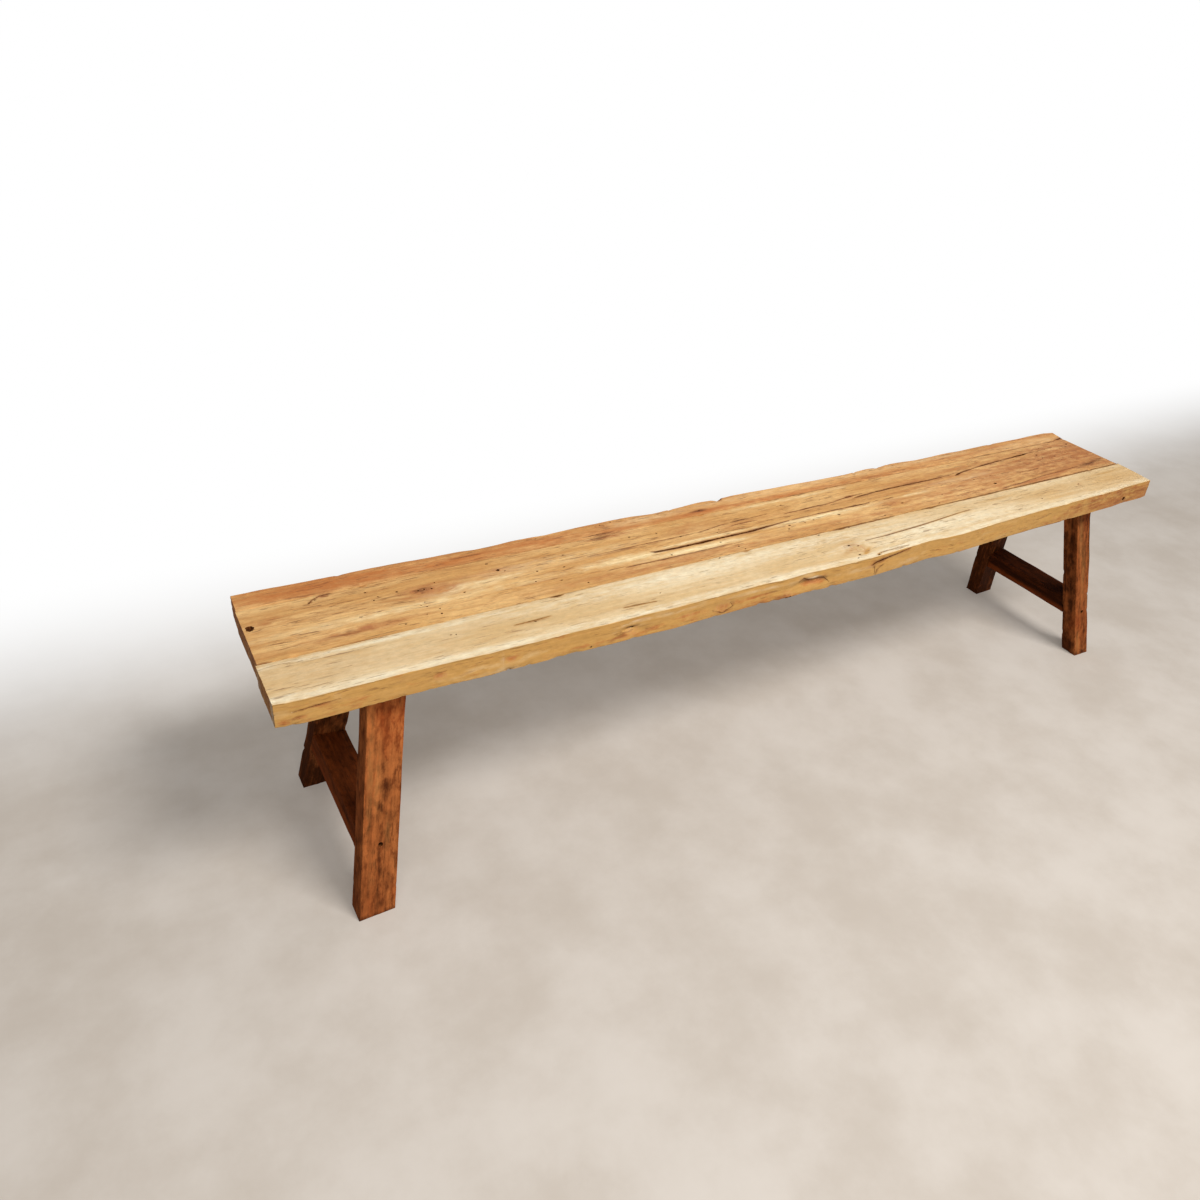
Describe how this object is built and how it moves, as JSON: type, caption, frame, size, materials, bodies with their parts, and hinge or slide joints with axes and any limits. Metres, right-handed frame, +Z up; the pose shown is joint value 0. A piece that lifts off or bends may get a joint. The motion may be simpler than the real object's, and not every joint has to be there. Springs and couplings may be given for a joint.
{
  "type": "wooden bench",
  "caption": "Long low backless bench: an edge-jointed plank seat on splayed A-frame trestles with low stretchers, in worn reclaimed wood.",
  "frame": {"origin": "on the floor, under the centre of the bench", "axes": "+X along the bench towards the picture's right end, +Y from the front edge to the rear edge, +Z up"},
  "size_m": [1.9994, 0.3832, 0.45],
  "materials": {
    "wood_straw": "pale straw sapwood, sanded, low sheen",
    "wood_golden": "golden tan reclaimed wood with knots and checks, low sheen",
    "wood_tan": "orange tan reclaimed wood, low sheen",
    "wood_leg": "reddish brown stained wood, low sheen",
    "wood_stretcher": "dark reddish brown stained wood, low sheen",
    "wood_hidden": "plain brown wood, sawn",
    "screw_steel": "dark oxidised steel"
  },
  "bodies": {
    "root": {"board_front": "wood_straw", "board_middle": "wood_golden", "board_rear": "wood_tan", "cleat_left": "wood_hidden", "cleat_right": "wood_hidden", "leg_front_left": "wood_leg", "leg_rear_left": "wood_leg", "leg_front_right": "wood_leg", "leg_rear_right": "wood_leg", "stretcher_left": "wood_stretcher", "stretcher_right": "wood_stretcher", "screw_stretcher_front_left": "screw_steel", "screw_stretcher_rear_left": "screw_steel", "screw_stretcher_front_right": "screw_steel", "screw_stretcher_rear_right": "screw_steel", "screw_cleat_front_inner_left": "screw_steel", "screw_cleat_front_outer_left": "screw_steel", "screw_cleat_middle_inner_left": "screw_steel", "screw_cleat_middle_outer_left": "screw_steel", "screw_cleat_rear_inner_left": "screw_steel", "screw_cleat_rear_outer_left": "screw_steel", "screw_cleat_front_inner_right": "screw_steel", "screw_cleat_front_outer_right": "screw_steel", "screw_cleat_middle_inner_right": "screw_steel", "screw_cleat_middle_outer_right": "screw_steel", "screw_cleat_rear_inner_right": "screw_steel", "screw_cleat_rear_outer_right": "screw_steel"}
  },
  "joints": []
}
